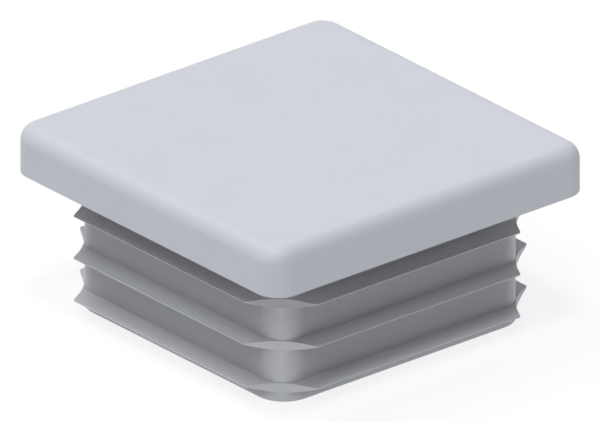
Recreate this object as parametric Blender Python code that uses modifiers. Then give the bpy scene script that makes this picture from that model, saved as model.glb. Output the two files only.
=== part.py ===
"""Square tube end cap: one plastic moulding with a square head, a hollow plug and three rings of fins."""

import math

import bmesh
import bpy
from mathutils import Matrix, Vector

MM = 0.001

# Tube that the cap closes
TUBE_SIDE = 40.0 * MM
TUBE_WALL = 2.5 * MM

# Head, the plate that covers the tube's end
HEAD_OVERHANG = 0.0 * MM  # past the tube's outer face, on each side
HEAD_THICKNESS = 5.0 * MM
HEAD_CORNER_RADIUS = 2.5 * MM
HEAD_EDGE_RADIUS = 1.6 * MM  # round the outer face

# Plug, the hollow square that goes into the tube
PLUG_CLEARANCE = 1.75 * MM  # from its wall to the tube's inner face
PLUG_DEPTH = 14.0 * MM
PLUG_CORNER_RADIUS = 3.1 * MM
PLUG_WALL = 2.0 * MM

# Hollow inside the plug and the head
HOLLOW_CORNER_RADIUS = 1.1 * MM
HOLLOW_CEILING_RADIUS = 0.6 * MM
HEAD_SKIN = 3.0 * MM  # plastic left over the hollow

# Fins, which bend and grip the tube's inner face
FIN_COUNT = 3
FIN_SQUEEZE = 0.45 * MM  # how far a tip stands past the tube's inner face
FIN_FIRST_DEPTH = 2.91 * MM  # from the head's underside to the first fin's root
FIN_LAST_MARGIN = 1.05 * MM  # from the last fin's root to the plug's rim
FIN_TIP_THICKNESS = 0.1 * MM
FIN_ROOT_THICKNESS = 1.0 * MM  # more than the tip's, which slopes the underside as a lead-in
FIN_DROOP = 0.15 * MM  # fall of a fin's top from its root to its tip
FIN_END_RADIUS = 8.0 * MM  # hollow curve that trims the fins at a corner
FIN_END_LIP = 0.08 * MM  # what that curve leaves of the fins on the corner itself

# Overlap of shapes that a Boolean joins, and length of a cutter past its wall
JOIN_OVERLAP = 1.0 * MM
CUTTER_EXTRA = 1.0 * MM

CORNER_SEGMENTS = 12
EDGE_SEGMENTS = 8
END_CUTTER_SEGMENTS = 96

HEAD_WIDTH = TUBE_SIDE + 2 * HEAD_OVERHANG
TUBE_BORE = TUBE_SIDE - 2 * TUBE_WALL
PLUG_WIDTH = TUBE_BORE - 2 * PLUG_CLEARANCE
FIN_REACH = PLUG_CLEARANCE + FIN_SQUEEZE
FIN_SPAN = PLUG_DEPTH - FIN_FIRST_DEPTH - FIN_ROOT_THICKNESS - FIN_LAST_MARGIN
FIN_PITCH = FIN_SPAN / max(1, FIN_COUNT - 1)
UNDERSIDE = PLUG_DEPTH  # height of the head's underside over the plug's rim
TOP = UNDERSIDE + HEAD_THICKNESS


def clear_scene():
    """Remove every object that the file starts with."""
    for obj in list(bpy.data.objects):
        bpy.data.objects.remove(obj)


def new_collection(name):
    """A collection of this name, linked to the scene."""
    collection = bpy.data.collections.new(name)
    bpy.context.scene.collection.children.link(collection)
    return collection


def grey_plastic():
    """Mid grey moulded plastic with a fine matt surface."""
    material = bpy.data.materials.new("grey_plastic")
    material.use_nodes = True
    shader = material.node_tree.nodes["Principled BSDF"]
    shader.inputs["Base Color"].default_value = (0.40, 0.42, 0.46, 1.0)
    shader.inputs["Roughness"].default_value = 0.55
    shader.inputs["Metallic"].default_value = 0.0
    return material


def rounded_square(width, radius):
    """Points of a square outline with round corners, anticlockwise."""
    straight = width / 2 - radius
    points = []
    for corner in range(4):
        turn = Matrix.Rotation(math.radians(90 * corner), 2)
        for step in range(CORNER_SEGMENTS + 1):
            angle = math.radians(90 * step / CORNER_SEGMENTS)
            on_arc = Vector((math.cos(angle), math.sin(angle))) * radius
            points.append(turn @ (Vector((straight, straight)) + on_arc))
    return points


def outline_curve(name, points):
    """A closed flat curve through these points."""
    curve = bpy.data.curves.new(name, "CURVE")
    curve.dimensions = "2D"
    spline = curve.splines.new("POLY")
    spline.points.add(len(points) - 1)
    for point, (x, y) in zip(spline.points, points):
        point.co = (x, y, 0, 1)
    spline.use_cyclic_u = True
    return curve


def meshed(curve_object, collection):
    """Replace a curve object with a closed mesh object of the same name and place."""
    name = curve_object.name
    collection.objects.link(curve_object)
    bpy.context.view_layer.update()
    graph = bpy.context.evaluated_depsgraph_get()
    mesh = bpy.data.meshes.new_from_object(curve_object.evaluated_get(graph))
    place = curve_object.matrix_world.copy()
    bpy.data.objects.remove(curve_object)
    shape = bmesh.new()
    shape.from_mesh(mesh)
    bmesh.ops.remove_doubles(shape, verts=shape.verts, dist=1e-6)
    bmesh.ops.dissolve_limit(
        shape, angle_limit=math.radians(0.1), verts=shape.verts, edges=shape.edges
    )
    bmesh.ops.recalc_face_normals(shape, faces=shape.faces)
    shape.to_mesh(mesh)
    shape.free()
    obj = bpy.data.objects.new(name, mesh)
    obj.matrix_world = place
    collection.objects.link(obj)
    return obj


def block(name, width, radius, bottom, top, collection):
    """A square with round corners, given a height."""
    curve = outline_curve(name, rounded_square(width, radius))
    curve.fill_mode = "BOTH"
    curve.extrude = (top - bottom) / 2
    obj = bpy.data.objects.new(name, curve)
    obj.location.z = (top + bottom) / 2
    return meshed(obj, collection)


def round_top_edge(obj, radius):
    """Bevel the edges round an object's top face."""
    mesh = obj.data
    highest = max(vertex.co.z for vertex in mesh.vertices)
    weights = mesh.attributes.new("bevel_weight_edge", "FLOAT", "EDGE")
    for edge in mesh.edges:
        heights = [mesh.vertices[index].co.z for index in edge.vertices]
        weights.data[edge.index].value = float(min(heights) > highest - 1e-6)
    bevel = obj.modifiers.new("round edge", "BEVEL")
    bevel.limit_method = "WEIGHT"
    bevel.width = radius
    bevel.segments = EDGE_SEGMENTS
    bevel.use_clamp_overlap = False


def fin_profile():
    """Section of one fin: x runs in from the plug's wall, y up from the top of the fin's root."""
    return [
        (JOIN_OVERLAP, -FIN_ROOT_THICKNESS),
        (JOIN_OVERLAP, 0),
        (0, 0),
        (-FIN_REACH, -FIN_DROOP),
        (-FIN_REACH, -FIN_DROOP - FIN_TIP_THICKNESS),
        (0, -FIN_ROOT_THICKNESS),
    ]


def fin_end_cutters(collection):
    """Four upright cylinders, one off each corner, that trim the ends of the fins."""
    half = PLUG_WIDTH / 2
    corner = half * math.sqrt(2) - PLUG_CORNER_RADIUS * (math.sqrt(2) - 1)
    away = (corner + FIN_END_LIP + FIN_END_RADIUS) / math.sqrt(2)
    shape = bmesh.new()
    for x, y in ((away, away), (-away, away), (-away, -away), (away, -away)):
        bmesh.ops.create_cone(
            shape,
            cap_ends=True,
            segments=END_CUTTER_SEGMENTS,
            radius1=FIN_END_RADIUS,
            radius2=FIN_END_RADIUS,
            depth=PLUG_DEPTH + 2 * CUTTER_EXTRA,
            matrix=Matrix.Translation((x, y, PLUG_DEPTH / 2)),
        )
    mesh = bpy.data.meshes.new("fin_end_cutters")
    shape.to_mesh(mesh)
    shape.free()
    obj = bpy.data.objects.new("fin_end_cutters", mesh)
    collection.objects.link(obj)
    return obj


def fins(collection):
    """Rings of fins: one section carried round the plug's wall, repeated down the plug and trimmed."""
    section = bpy.data.objects.new("fin_section", outline_curve("fin_section", fin_profile()))
    collection.objects.link(section)
    path = outline_curve("fin_rings", rounded_square(PLUG_WIDTH, PLUG_CORNER_RADIUS))
    path.bevel_mode = "OBJECT"
    path.bevel_object = section
    ring = bpy.data.objects.new("fin_rings", path)
    ring.location.z = UNDERSIDE - FIN_FIRST_DEPTH
    rings = meshed(ring, collection)
    bpy.data.objects.remove(section)
    repeat = rings.modifiers.new("rings", "ARRAY")
    repeat.count = FIN_COUNT
    repeat.use_relative_offset = False
    repeat.use_constant_offset = True
    repeat.constant_offset_displace = (0, 0, -FIN_PITCH)
    combine(rings, fin_end_cutters(collection), "DIFFERENCE")
    return rings


def combine(obj, other, operation):
    """Join another object to this one, or cut it away."""
    boolean = obj.modifiers.new(f"{operation.lower()} {other.name}", "BOOLEAN")
    boolean.operation = operation
    boolean.object = other


def apply_modifiers(obj):
    """Make the evaluated shape the object's own mesh, smooth where it is round."""
    bpy.context.view_layer.update()
    graph = bpy.context.evaluated_depsgraph_get()
    mesh = bpy.data.meshes.new_from_object(obj.evaluated_get(graph))
    obj.modifiers.clear()
    obj.data = mesh
    mesh.shade_smooth()
    mesh.set_sharp_from_angle(angle=math.radians(30))


def end_cap(parts, cutters):
    """Head, plug and fins as one solid, hollow from below."""
    cap = block("end_cap", HEAD_WIDTH, HEAD_CORNER_RADIUS, UNDERSIDE, TOP, parts)
    round_top_edge(cap, HEAD_EDGE_RADIUS)
    plug = block(
        "plug", PLUG_WIDTH, PLUG_CORNER_RADIUS, 0, UNDERSIDE + JOIN_OVERLAP, cutters
    )
    hollow = block(
        "hollow",
        PLUG_WIDTH - 2 * PLUG_WALL,
        HOLLOW_CORNER_RADIUS,
        -CUTTER_EXTRA,
        TOP - HEAD_SKIN,
        cutters,
    )
    round_top_edge(hollow, HOLLOW_CEILING_RADIUS)
    combine(cap, plug, "UNION")
    combine(cap, fins(cutters), "UNION")
    combine(cap, hollow, "DIFFERENCE")
    apply_modifiers(cap)
    cap.data.materials.clear()
    cap.data.materials.append(grey_plastic())
    return cap


clear_scene()
part_collection = new_collection("square_tube_end_cap")
cutter_collection = new_collection("cutters")
end_cap(part_collection, cutter_collection)
for helper in cutter_collection.objects:
    helper.hide_render = True
    helper.display_type = "WIRE"
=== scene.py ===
import math

import bpy
import numpy as np
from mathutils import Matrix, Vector


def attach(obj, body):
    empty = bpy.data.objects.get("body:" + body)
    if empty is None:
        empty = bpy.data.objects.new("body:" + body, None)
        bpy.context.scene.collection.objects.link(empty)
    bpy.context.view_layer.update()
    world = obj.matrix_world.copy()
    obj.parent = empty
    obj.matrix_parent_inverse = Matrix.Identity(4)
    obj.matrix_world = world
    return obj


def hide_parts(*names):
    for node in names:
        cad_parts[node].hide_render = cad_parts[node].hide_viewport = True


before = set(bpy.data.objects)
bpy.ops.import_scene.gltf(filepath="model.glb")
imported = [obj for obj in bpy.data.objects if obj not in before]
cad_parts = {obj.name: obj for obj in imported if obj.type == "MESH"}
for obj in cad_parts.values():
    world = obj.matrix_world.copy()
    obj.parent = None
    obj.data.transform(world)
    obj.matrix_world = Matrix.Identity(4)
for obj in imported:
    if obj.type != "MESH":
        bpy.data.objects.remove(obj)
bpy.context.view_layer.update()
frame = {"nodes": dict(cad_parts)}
mm = 0.001
white = (1, 1, 1, 1)
print("frame loaded:", ", ".join(frame["nodes"]))


# shader sockets that take Python's operators: each one adds a Math node
class Sock:
    def __init__(self, tree, socket):
        self.tree, self.socket = tree, socket

    def math(self, operation, *values):
        return addNode(self.tree, "ShaderNodeMath", {"operation": operation}, values)

    def __add__(self, other):
        return self.math("ADD", self, other)

    def __radd__(self, other):
        return self.math("ADD", other, self)

    def __sub__(self, other):
        return self.math("SUBTRACT", self, other)

    def __rsub__(self, other):
        return self.math("SUBTRACT", other, self)

    def __mul__(self, other):
        return self.math("MULTIPLY", self, other)

    def __rmul__(self, other):
        return self.math("MULTIPLY", other, self)

    def between(self, low, high):
        # distance past low over the distance from low to high, held between 0 and 1
        settings = {"interpolation_type": "LINEAR", "clamp": True}
        ends = {"Value": self, "From Min": low, "From Max": high}
        return addNode(self.tree, "ShaderNodeMapRange", settings, ends)


def addNode(tree, kind, settings=None, inputs=(), output=0):
    # one node: its settings first, then a value or a link for each input, by place or by name
    node = tree.nodes.new(kind)
    for name, value in (settings or {}).items():
        setattr(node, name, value)
    pairs = inputs.items() if isinstance(inputs, dict) else enumerate(inputs)
    for name, value in pairs:
        if isinstance(value, Sock):
            tree.links.new(value.socket, node.inputs[name])
        else:
            node.inputs[name].default_value = value
    return Sock(tree, node.outputs[output] if len(node.outputs) else None)


def newTree(owner):
    # a material's or a world's node tree, emptied
    owner.use_nodes = True
    owner.node_tree.nodes.clear()
    return owner.node_tree


def gridMesh(name, points, topPole, endPole):
    # a closed skin: each point of a row joins the next one and the two under them, the last in a row
    # joins the first, and a fan of triangles to one point shuts either end
    rows, columns = points.shape[:2]
    ids = np.arange(rows * columns).reshape(rows, columns)
    after = np.roll(ids, -1, axis=1)
    quads = np.stack([ids[:-1], ids[1:], after[1:], after[:-1]], axis=-1).reshape(-1, 4)
    top, end = rows * columns, rows * columns + 1
    topFan = np.stack([np.full(columns, top), ids[0], after[0]], axis=-1)
    endFan = np.stack([np.full(columns, end), after[-1], ids[-1]], axis=-1)
    corners = np.concatenate([quads.ravel(), topFan.ravel(), endFan.ravel()])
    sizes = np.concatenate([np.full(len(quads), 4), np.full(2 * columns, 3)])
    mesh = bpy.data.meshes.new(name)
    mesh.vertices.add(rows * columns + 2)
    everyPoint = np.concatenate([points.reshape(-1, 3), [topPole, endPole]])
    mesh.vertices.foreach_set("co", everyPoint.astype(np.float32).ravel())
    mesh.loops.add(len(corners))
    mesh.loops.foreach_set("vertex_index", corners.astype(np.int32))
    mesh.polygons.add(len(sizes))
    mesh.polygons.foreach_set("loop_start", (np.cumsum(sizes) - sizes).astype(np.int32))
    mesh.polygons.foreach_set("use_smooth", np.ones(len(sizes), bool))
    mesh.update(calc_edges=True)
    mesh.validate()
    made = bpy.data.objects.new(name, mesh)
    bpy.context.scene.collection.objects.link(made)
    return made


# end cap: sizes in millimetres, heights over the plug's rim
cap = {
    "headHalf": 20.0,
    "headCorner": 2.5,
    "headEdge": 1.6,  # round over the outer face
    "headTop": 19.0,
    "headFlat": 17.55,  # half width at which the rows of the outer face begin
    "underside": 14.0,
    "undersideEdge": 0.05,  # round
    "plugHalf": 15.75,
    "plugCorner": 3.1,
    "plugTopRound": 0.1,  # in the corner under the head
    "plugWall": 2.0,
    "rimOuter": 0.03,  # rounds on the plug's rim
    "rimInner": 0.12,
    "hollowTop": 16.0,
    "hollowEdge": 0.6,
    "hollowFlat": 1.0,  # from the hollow's wall to where the rows of its ceiling end
    "finCount": 3,
    "finFirst": 2.91,  # from the underside to the top of the first root
    "finPitch": 4.52,
    "finReach": 2.2,
    "finTip": 0.09,  # thickness
    "finRoot": 1.05,
    "finDroop": 0.15,  # fall of a fin's top from root to tip
    "finTrim": 8.0,  # radius of the hollow curve at a corner
    "finLip": 0.08,  # what the curve leaves on the corner itself
    "finTurn": 0.7,  # softness where the tip line meets that curve
    "edgeBreak": 0.05,  # small rounds on the fins' edges
    "rootRound": 0.08,  # in the crease on a fin
    "roundLimit": 0.4,  # the most of a fin's reach that one of these rounds takes
    "creaseHeight": 1.1,  # of the painted shade in the crease, in root rounds
    "headShade": 0.4,  # painted shade share of the plug's corner under the head
    "endShade": 0.49,  # painted shade share of the first fin's trimmed ends, close under the head
    "endFade": 3.0,  # how fast that share comes in as the fin is trimmed
    "lowerShadeTintShare": 0.45,  # painted shade tint of the plug below its first fin, where the tint over that fin, in the head's shade, is 1
    "faceRings": (3.0, 8.0, 13.0),  # half widths of the rings on the outer face and on the hollow's ceiling
    "ceilingRings": (8.0, 3.0),
    "ringCorner": 0.003,  # corner radius of such a ring, as a share of its half width
    "flatCorner": 0.05,  # corner radius of the rows where those flats begin
    "arcSteps": (10, 3, 12),  # of a round: for each millimetre, fewest and most
    "rowStep": 1.6,  # between rows along a long straight
    "holdGap": 0.05,  # rows beside a round, which keep the flats flat
    "holdShare": 0.25,  # the most of a straight that such a gap takes
    "sideSteps": 44,
    "cornerSteps": 56,
}


def outlineColumns():
    # two numbers per column: the place along a side, from -1 to 1, and the angle round its corner, from 0
    # to a right angle, both closer together towards their ends, by a sine
    along = np.sin(np.linspace(-1, 1, cap["sideSteps"] + 1) * math.pi / 2)[:-1]
    turn = (1 + np.sin(np.linspace(-1, 1, cap["cornerSteps"] + 1) * math.pi / 2))[:-1] * math.pi / 4
    place = np.concatenate([along, np.ones(cap["cornerSteps"])])
    angle = np.concatenate([np.zeros(cap["sideSteps"]), turn])
    return place, angle


place, angle = outlineColumns()


def ringPoints(half, corner, height):
    # square of this half width with round corners: from the straight part (half - corner) times the
    # place, out by the corner radius along the angle, then turned by 0, 90, 180 and 270 degrees
    x = half - corner + corner * np.cos(angle)
    y = (half - corner) * place + corner * np.sin(angle)
    z = np.broadcast_to(height, x.shape)
    turns = ((x, y), (-y, x), (-x, -y), (y, -x))
    return np.concatenate([np.stack([across, along, z], axis=-1) for across, along in turns])


def finReach():
    # how far a fin stands out at each column: its full reach or the distance along the outward normal to a
    # hollow circle off the corner, whichever is smaller, less a quarter of the softness where both agree
    straight = cap["plugHalf"] - cap["plugCorner"]
    baseX = straight + cap["plugCorner"] * np.cos(angle)
    baseY = straight * place + cap["plugCorner"] * np.sin(angle)
    cornerOut = cap["plugHalf"] * math.sqrt(2) - cap["plugCorner"] * (math.sqrt(2) - 1)
    centre = (cornerOut + cap["finLip"] + cap["finTrim"]) / math.sqrt(2)
    trimmed = np.full(len(place), math.inf)
    for sign in (1, -1):
        toX, toY = centre - baseX, sign * centre - baseY
        forward = toX * np.cos(angle) + toY * np.sin(angle)
        inside = forward**2 - toX**2 - toY**2 + cap["finTrim"] ** 2
        hit = forward - np.sqrt(np.maximum(inside, 0))
        trimmed = np.where((inside > 0) & (hit > 0), np.minimum(trimmed, hit), trimmed)
    near = np.maximum(1 - np.abs(cap["finReach"] - trimmed) / cap["finTurn"], 0)
    return np.minimum(cap["finReach"], trimmed) - near**2 * cap["finTurn"] / 4


def capProfile():
    # corners of the section from the middle of the head's face, out, down the plug and up its hollow:
    # (half width, corner radius, height, crease share, ceiling share, tint share, round), each a number
    # or one value per column. A fin's tip lies its reach out from the wall, and its top and underside
    # slope in proportion to that reach. The three shares are painted shade: the crease share is 1 in the
    # crease on a fin and the ceiling share 1 in the one under it, both falling to 0 at the middle of the
    # plug's corners, and the tint share makes the plug less blue, most in the head's shade
    reach = finReach()
    beside = np.abs(angle - math.pi / 4) / (math.pi / 4)
    out = reach / cap["finReach"]
    tiny = np.minimum(cap["edgeBreak"], cap["roundLimit"] * reach)
    root = np.minimum(cap["rootRound"], cap["roundLimit"] * reach)
    rise = cap["finRoot"] - cap["finDroop"] - cap["finTip"]  # of a fin's underside
    half, corner = cap["plugHalf"], cap["plugCorner"]
    inner, innerCorner = half - cap["plugWall"], corner - cap["plugWall"]
    faint = cap["lowerShadeTintShare"]
    corners = [
        (cap["headFlat"], cap["flatCorner"], cap["headTop"], 0, 0, 0, 0),
        (cap["headHalf"], cap["headCorner"], cap["headTop"], 0, 0, 0, cap["headEdge"]),
        (cap["headHalf"], cap["headCorner"], cap["underside"], 0, 0, 0, cap["undersideEdge"]),
        (half, corner, cap["underside"], 0, cap["headShade"] * beside, 1, cap["plugTopRound"]),
    ]
    for fin in range(cap["finCount"]):
        top = cap["underside"] - cap["finFirst"] - fin * cap["finPitch"]
        over = faint if fin else 1
        # painted shade on the first fin's ends as they are trimmed, close under the head
        end = 0 if fin else cap["endShade"] * np.minimum(cap["endFade"] * (1 - out), 1)
        corners += [
            (half, corner, top + cap["creaseHeight"] * root, beside, 0, over, 0),
            (half, corner, top, 0, 0, over, root),
            (half + reach, corner + reach, top - cap["finDroop"] * out, 0, end, over, tiny),
            (half + reach, corner + reach, top - cap["finRoot"] + rise * out, 0, end, faint, tiny),
            (half, corner, top - cap["finRoot"], 0, beside, faint, tiny),
        ]
    corners += [
        (half, corner, 0, 0, 0, faint, cap["rimOuter"]),
        (inner, innerCorner, 0, 0, 0, faint, cap["rimInner"]),
        (inner, innerCorner, cap["hollowTop"], 0, 0, faint, cap["hollowEdge"]),
        (inner - cap["hollowFlat"], cap["flatCorner"], cap["hollowTop"], 0, 0, faint, 0),
    ]
    full = [np.stack([np.broadcast_to(value, place.shape) for value in one], axis=-1) for one in corners]
    section = np.stack(full).astype(float)
    depth = np.clip(1 - section[..., 2] / cap["underside"], 0, 1)
    section[..., 5] *= 1 - np.maximum(1 - 2 * beside, 0) * depth  # the painted shade tint fades down the plug's corners
    return section


def cornerArc(before, spot, after, size):
    # arc of this radius in a corner of the section: its middle lies off the corner by the radius over the
    # sine of the opening, along both ways together; points on it mix its two ends by sines of their
    # shares of the arc
    back, ahead = [step / np.hypot(step[:, :1], step[:, 2:3]) for step in (before - spot, after - spot)]
    opening = np.arccos(np.clip(back[:, :1] * ahead[:, :1] + back[:, 2:3] * ahead[:, 2:3], -1, 1))
    middle = spot + (back + ahead) * size / np.sin(opening)
    cut = size / np.tan(opening / 2)
    first, last = spot + back * cut - middle, spot + ahead * cut - middle
    sweep = math.pi - opening
    perMm, fewest, most = cap["arcSteps"]
    points = []
    for share in np.linspace(0, 1, int(np.clip(perMm * size.max(), fewest, most)) + 1):
        mixed = first * np.sin((1 - share) * sweep) + last * np.sin(share * sweep)
        points.append(middle + mixed / np.sin(sweep))
    return points


def roundedRows(corners):
    # rows along the section: an arc at each corner that has a round, and rows beside the arcs on the
    # straights
    spots, rounds = corners[..., :6], corners[..., 6:]
    rows = [spots[0]]
    for index in range(1, len(spots)):
        arc = [spots[index]]
        if rounds[index].any():
            arc = cornerArc(*spots[index - 1:index + 2], rounds[index])
        rows += straightRows(rows[-1], arc[0]) + arc
    return np.stack(rows)


def straightRows(start, stop):
    # rows between two arcs, at start plus a share of the way to stop: one close to each, and evenly
    # spaced ones along a long straight
    gap = stop - start
    length = np.hypot(gap[:, 0], gap[:, 2])
    beside = np.minimum(cap["holdGap"], cap["holdShare"] * length) / np.maximum(length, 1e-9)
    even = np.linspace(0, 1, int(length.max() // cap["rowStep"]) + 2)[1:-1]
    shares = [beside] + [np.full(len(beside), share) for share in even] + [1 - beside]
    return [start + gap * np.clip(share, beside, 1 - beside)[:, None] for share in shares]


def flatRing(half, height):
    # a nearly sharp square on one of the two flat ends
    return ringPoints(half, cap["ringCorner"] * half, height)


def buildCap():
    # every row of the section as a ring, with a few rings more across the two flat ends; the three painted
    # shade shares go on the points as attributes
    section = roundedRows(capProfile())
    rings = [flatRing(half, cap["headTop"]) for half in cap["faceRings"]]
    rings += [ringPoints(row[:, 0], row[:, 1], row[:, 2]) for row in section]
    rings += [flatRing(half, cap["hollowTop"]) for half in cap["ceilingRings"]]
    points = np.stack(rings) * mm
    made = gridMesh("endCapMoulding", points, (0, 0, cap["headTop"] * mm), (0, 0, cap["hollowTop"] * mm))
    extra = ((len(cap["faceRings"]), len(cap["ceilingRings"])), (0, 0))
    for name, channel in (("creaseShade", 3), ("ceilingShade", 4), ("shadeTint", 5)):
        share = np.pad(section[..., channel], extra, mode="edge")
        values = np.append(np.tile(share, (1, 4)).ravel(), [share[0, 0], share[-1, 0]])
        attribute = made.data.attributes.new(name, "FLOAT", "POINT")
        attribute.data.foreach_set("value", values.astype(np.float32))
    return made


# moulded plastic: colours, sizes in millimetres, and the part of each noise that is used
plastic = {
    "colour": (0.536, 0.553, 0.6045, 1),
    "deepColour": (0.525, 0.542, 0.5925, 1),
    "mottle": 6.0,  # broad, faint change of colour
    "mottleRange": (0.3, 0.7),
    "mottleDetail": 3.0,
    "mottleShare": 0.7,  # of the change of colour; the rest is the speck's
    "speck": 0.5,
    "speckRange": (0.35, 0.65),
    "grain": 0.16,
    "grainRange": (0.3, 0.7),
    "fineDetail": 2.0,  # of the speck and the grain
    "grainDepth": 0.004,
    "grainStrength": 0.5,
    "roughness": 0.5,
    "roughSpread": 0.03,  # either way, with the grain
    "bend": 1.46,  # index of refraction
    "gloss": 0.35,
    "shadeTintColour": (1.028, 1.0, 0.944, 1),  # painted shade tint: the plug made less blue than the head, most in the head's shade
    # near-black that stands in for the shade in the creases and under the fins: painted shade
    "paintedShadeColour": (0.05, 0.05, 0.04, 1),
    "creaseShade": 0.12,  # how far the colour goes to the painted shade colour in the crease on a fin
    "ceilingShade": 0.45,  # and in the one under a fin, also painted shade
}


def noise(tree, spot, size, detail):
    # smooth noise with features of about this size in millimetres
    inputs = {"Vector": spot, "Scale": 1 / (size * mm), "Detail": detail}
    return addNode(tree, "ShaderNodeTexNoise", {}, inputs)


def painted(tree, name):
    # the share that buildCap put on the points under this name; a node's output 2 is its number
    return addNode(tree, "ShaderNodeAttribute", {"attribute_name": name}, output=2)


def mixColours(tree, share, first, second, way="MIX"):
    # first colour at a share of 0 and second at 1, or first times second at 1 where the way is MULTIPLY;
    # the node's factor is input 0, and its colours are inputs 6 and 7 and output 2
    settings = {"data_type": "RGBA", "blend_type": way}
    return addNode(tree, "ShaderNodeMix", settings, {0: share, 6: first, 7: second}, 2)


def plasticMaterial():
    # colour: between two greys by the mottle and the speck, times a painted shade tint on the plug, and
    # darker by painted shade in the creases and under the fins; roughness and bump by the grain
    material = bpy.data.materials.new("grey moulded plastic")
    tree = newTree(material)
    spot = addNode(tree, "ShaderNodeTexCoord", output=3)  # object coordinates
    mottle = noise(tree, spot, plastic["mottle"], plastic["mottleDetail"])
    speck = noise(tree, spot, plastic["speck"], plastic["fineDetail"])
    grain = noise(tree, spot, plastic["grain"], plastic["fineDetail"])
    broad = plastic["mottleShare"] * mottle.between(*plastic["mottleRange"])
    shade = broad + (1 - plastic["mottleShare"]) * speck.between(*plastic["speckRange"])
    # painted shade: the colour goes dark in the crease on each fin and under each fin
    shadeShare = plastic["creaseShade"] * painted(tree, "creaseShade") + plastic["ceilingShade"] * painted(tree, "ceilingShade")
    colour = mixColours(tree, shade, plastic["deepColour"], plastic["colour"])
    # painted shade tint: the plug less blue than the head, fully so in the head's shade under it
    colour = mixColours(tree, painted(tree, "shadeTint"), colour, plastic["shadeTintColour"], "MULTIPLY")
    colour = mixColours(tree, shadeShare, colour, plastic["paintedShadeColour"])
    spread = plastic["roughSpread"]
    rough = plastic["roughness"] - spread + 2 * spread * grain.between(*plastic["grainRange"])
    relief = {"Strength": plastic["grainStrength"], "Distance": plastic["grainDepth"] * mm, "Height": grain}
    shader = addNode(tree, "ShaderNodeBsdfPrincipled", {}, {
        "Base Color": colour,
        "Roughness": rough,
        "Normal": addNode(tree, "ShaderNodeBump", {}, relief),
        "IOR": plastic["bend"],
        "Specular IOR Level": plastic["gloss"],
    })
    addNode(tree, "ShaderNodeOutputMaterial", {}, {"Surface": shader})
    return material


def seesBackdrop(tree):
    # 1 for a ray from the camera, off a gloss or through glass, which all see the pale backdrop, and 0
    # for one that lights a surface: 1 less the product of what each of the three leaves out
    rays = ("Is Camera Ray", "Is Glossy Ray", "Is Transmission Ray")
    camera, gloss, glass = [addNode(tree, "ShaderNodeLightPath", output=ray) for ray in rays]
    return 1 - (1 - camera) * (1 - gloss) * (1 - glass)


# floor: pale, white to the camera, with the cap's shadow kept faint
floor = {
    "half": 0.6,  # half width in metres
    "steps": 5,
    "bounce": (0.3, 0.3, 0.3, 1),  # colour that lights the cap
    "lift": 0.75,  # and the soft light from below that a white studio floor gives
    "seen": (0.95, 0.95, 0.95, 1),  # colour that the camera sees, which takes the shadow
    "glow": 0.84,  # share of plain white in it
}


def buildFloor():
    # a flat grid of x and y at height 0
    side = np.linspace(-floor["half"], floor["half"], floor["steps"])
    x, y = np.meshgrid(side, side)
    points = np.stack([x, y, np.zeros_like(x)], axis=-1).reshape(-1, 3)
    ids = np.arange(x.size).reshape(x.shape)
    quads = np.stack([ids[:-1, :-1], ids[:-1, 1:], ids[1:, 1:], ids[1:, :-1]], axis=-1).reshape(-1, 4)
    mesh = bpy.data.meshes.new("floor")
    mesh.from_pydata(points.tolist(), [], quads.tolist())
    made = bpy.data.objects.new("floor", mesh)
    bpy.context.scene.collection.objects.link(made)
    material = bpy.data.materials.new("pale floor")
    tree = newTree(material)
    dim = addNode(tree, "ShaderNodeBsdfDiffuse", {}, {"Color": floor["bounce"]})
    lift = addNode(tree, "ShaderNodeEmission", {}, {"Color": white, "Strength": floor["lift"]})
    unseen = addNode(tree, "ShaderNodeAddShader", {}, {0: dim, 1: lift})
    pale = addNode(tree, "ShaderNodeBsdfDiffuse", {}, {"Color": floor["seen"]})
    glow = addNode(tree, "ShaderNodeEmission", {}, {"Color": white, "Strength": 1.0})
    seen = addNode(tree, "ShaderNodeMixShader", {}, {0: floor["glow"], 1: pale, 2: glow})
    mixed = addNode(tree, "ShaderNodeMixShader", {}, {0: seesBackdrop(tree), 1: unseen, 2: seen})
    addNode(tree, "ShaderNodeOutputMaterial", {}, {"Surface": mixed})
    mesh.materials.append(material)
    return made


# light: the sky's level, and soft lamps as (name, azimuth, elevation, width, strength), angles in degrees
lighting = {
    "sky": 0.03,
    "lamps": [
        ("overhead lamp", 50, 78, 12, 1.33),
        ("left lamp", -60, 62, 35, 1.32),
        ("front lamp", 36, 50, 25, 0.83),
        ("back lamp", 230, 48, 40, 0.38),
    ],
}


def fromAngles(azimuth, elevation):
    # direction from the cap, by the sines and cosines of both angles: azimuth 0 is -Y and 90 is +X
    turn, rise = math.radians(azimuth), math.radians(elevation)
    return Vector((math.sin(turn) * math.cos(rise), -math.cos(turn) * math.cos(rise), math.sin(rise)))


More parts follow.
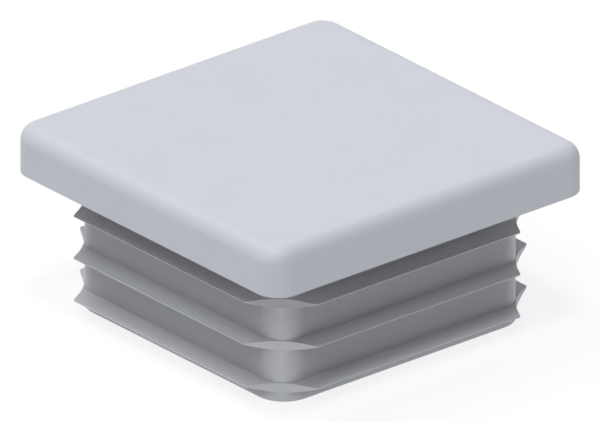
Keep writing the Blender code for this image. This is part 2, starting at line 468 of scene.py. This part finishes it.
def buildLights():
    # sun lamps turned to shine from their angles to the cap, and a sky that is dim where it lights a
    # surface and white where it is seen
    for name, azimuth, elevation, width, strength in lighting["lamps"]:
        lamp = bpy.data.lights.new(name, "SUN")
        lamp.energy, lamp.angle = strength, math.radians(width)
        made = bpy.data.objects.new(name, lamp)
        made.rotation_euler = (-fromAngles(azimuth, elevation)).to_track_quat("-Z", "Y").to_euler()
        bpy.context.scene.collection.objects.link(made)
    world = bpy.data.worlds.new("studio")
    bpy.context.scene.world = world
    tree = newTree(world)
    sky = addNode(tree, "ShaderNodeBackground", {}, {"Color": white, "Strength": lighting["sky"]})
    backdrop = addNode(tree, "ShaderNodeBackground", {}, {"Color": white, "Strength": 1.0})
    mixed = addNode(tree, "ShaderNodeMixShader", {}, {0: seesBackdrop(tree), 1: sky, 2: backdrop})
    addNode(tree, "ShaderNodeOutputWorld", {}, {"Surface": mixed})


# camera: flat projection at the photo's angles, in degrees; lengths in millimetres
shot = {
    "azimuth": 50.0,
    "elevation": 25.05,
    "pictureWidth": 600,  # pixels
    "pixelsPerMm": 10.3,
    "aimHeight": 10.678,  # of the point at the picture's middle
    "aimAside": -0.012,  # to the right of the cap's middle line
    "distance": 300.0,
}


def buildCamera():
    # at the aim point plus the distance along the direction back from it, and turned to look along that
    camera = bpy.data.cameras.new("camera")
    camera.type = "ORTHO"
    camera.ortho_scale = shot["pictureWidth"] / shot["pixelsPerMm"] * mm
    back = fromAngles(shot["azimuth"], shot["elevation"])
    across = Vector((0, 0, 1)).cross(back).normalized()
    aim = Vector((0, 0, shot["aimHeight"])) + across * shot["aimAside"]
    made = bpy.data.objects.new("camera", camera)
    made.location = (aim + back * shot["distance"]) * mm
    made.rotation_euler = back.to_track_quat("Z", "Y").to_euler()
    bpy.context.scene.collection.objects.link(made)
    bpy.context.scene.camera = made


capPiece = buildCap()
capPiece.data.materials.append(plasticMaterial())
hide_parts("end_cap")
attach(capPiece, "root")
print("end cap:", len(capPiece.data.polygons), "faces")

buildFloor()
print("floor ready")
buildLights()
buildCamera()
bpy.context.scene.view_settings.view_transform = "Standard"
print("light and camera ready")
